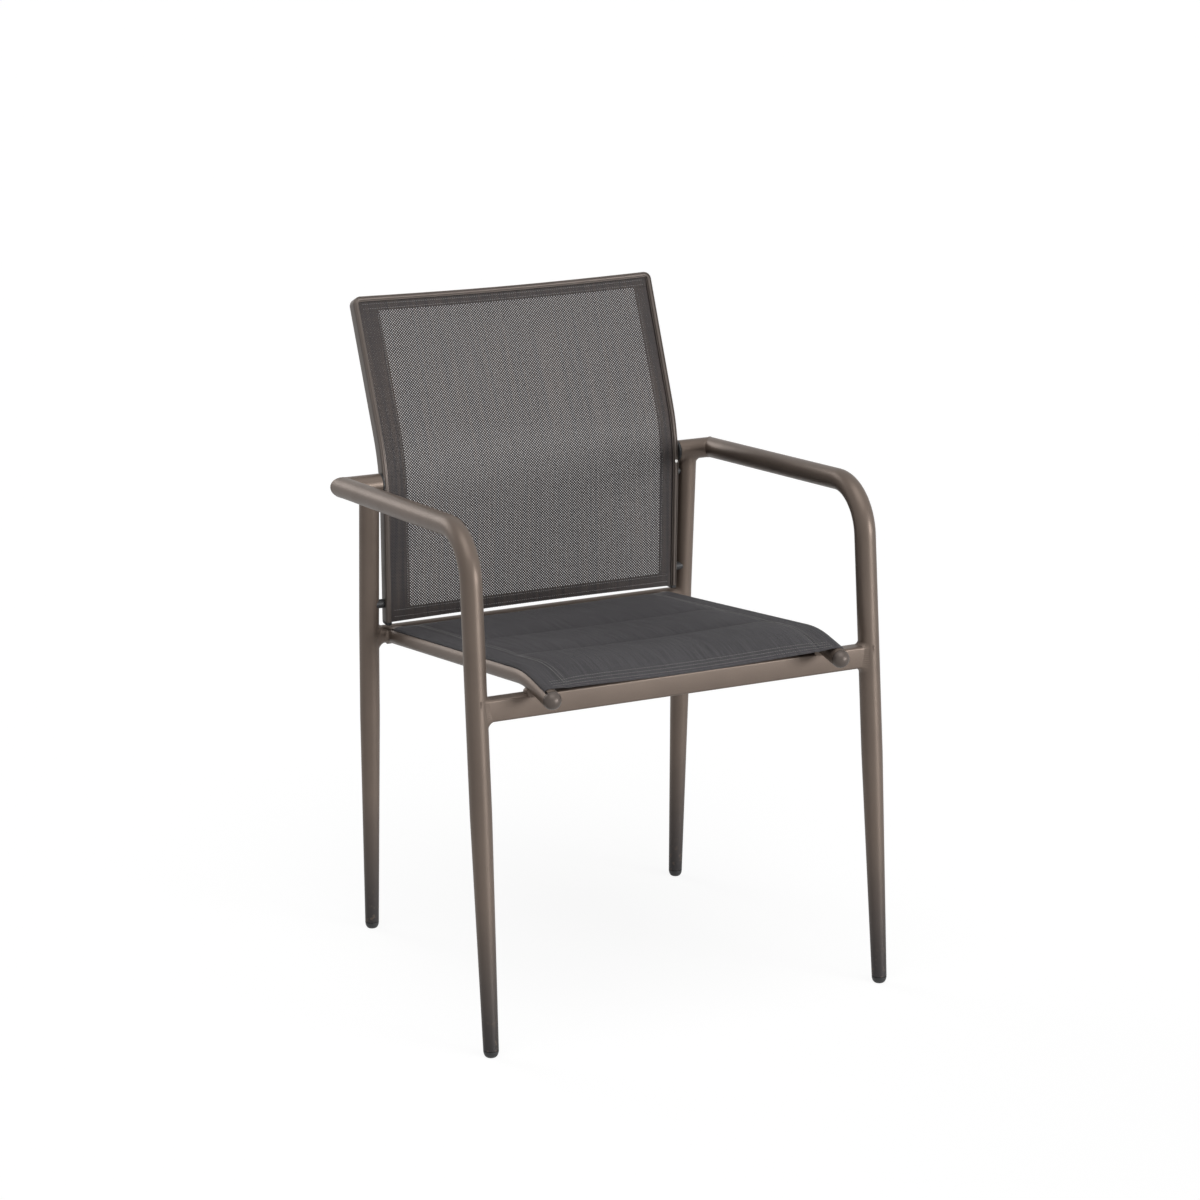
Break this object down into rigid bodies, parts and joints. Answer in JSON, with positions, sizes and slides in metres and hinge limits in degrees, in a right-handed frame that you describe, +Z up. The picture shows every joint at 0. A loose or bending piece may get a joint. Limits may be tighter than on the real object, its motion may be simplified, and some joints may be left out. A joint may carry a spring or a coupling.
{
  "type": "sling patio chair",
  "caption": "Stacking patio armchair: tapered tube legs bent into arms, a padded sling seat with sewn channels, and a mesh sling back that leans back above the arms.",
  "frame": {"origin": "on the floor, under the middle of the chair's bounding box", "axes": "+Z up, -Y the way the sitter faces, +X to the right of someone who faces the chair"},
  "size_m": [0.5772, 0.5874, 0.8594],
  "materials": {
    "frame": "satin grey-brown powder coat",
    "frame_cap": "satin, coloured to match the frame",
    "plastic": "moulded, dark",
    "seat_cloth": "fine charcoal sling weave",
    "back_cloth": "open grey-brown sling mesh",
    "foam": "quick-drying foam, hidden inside the seat",
    "steel": "stainless, brushed"
  },
  "bodies": {
    "root": {"arm_leg_tube_right": "frame", "arm_leg_tube_left": "frame", "arm_return_tube_right": "frame", "arm_return_tube_left": "frame", "arm_end_plug_right": "plastic", "arm_end_plug_left": "plastic", "rear_leg_right": "frame", "rear_leg_left": "frame", "front_foot_glide_right": "plastic", "front_foot_glide_left": "plastic", "rear_foot_glide_right": "plastic", "rear_foot_glide_left": "plastic", "front_crossbar": "frame", "rear_crossbar": "frame", "seat_rail_right": "frame", "seat_rail_left": "frame", "seat_rail_cap_right": "frame_cap", "seat_rail_cap_left": "frame_cap", "seat_spline_right": "plastic", "seat_spline_left": "plastic", "rail_saddle_right": "frame", "rail_saddle_left": "frame", "seat_sling_top": "seat_cloth", "seat_pad_rear": "foam", "seat_pad_middle": "foam", "seat_pad_front": "foam", "seat_sling_under": "seat_cloth", "back_side_rail_right": "frame", "back_side_rail_left": "frame", "back_top_rail": "frame", "back_rail_cap_right": "plastic", "back_rail_cap_left": "plastic", "back_sling": "back_cloth", "back_side_spline_right": "plastic", "back_side_spline_left": "plastic", "back_top_spline": "plastic", "upper_back_spacer_right": "plastic", "upper_back_spacer_left": "plastic", "upper_back_bolt_right": "steel", "upper_back_bolt_left": "steel", "upper_leg_insert_right": "steel", "upper_leg_insert_left": "steel", "lower_back_spacer_right": "plastic", "lower_back_spacer_left": "plastic", "lower_back_bolt_right": "steel", "lower_back_bolt_left": "steel", "lower_leg_insert_right": "steel", "lower_leg_insert_left": "steel", "back_face_screw_right": "steel", "back_face_screw_left": "steel"}
  },
  "joints": []
}
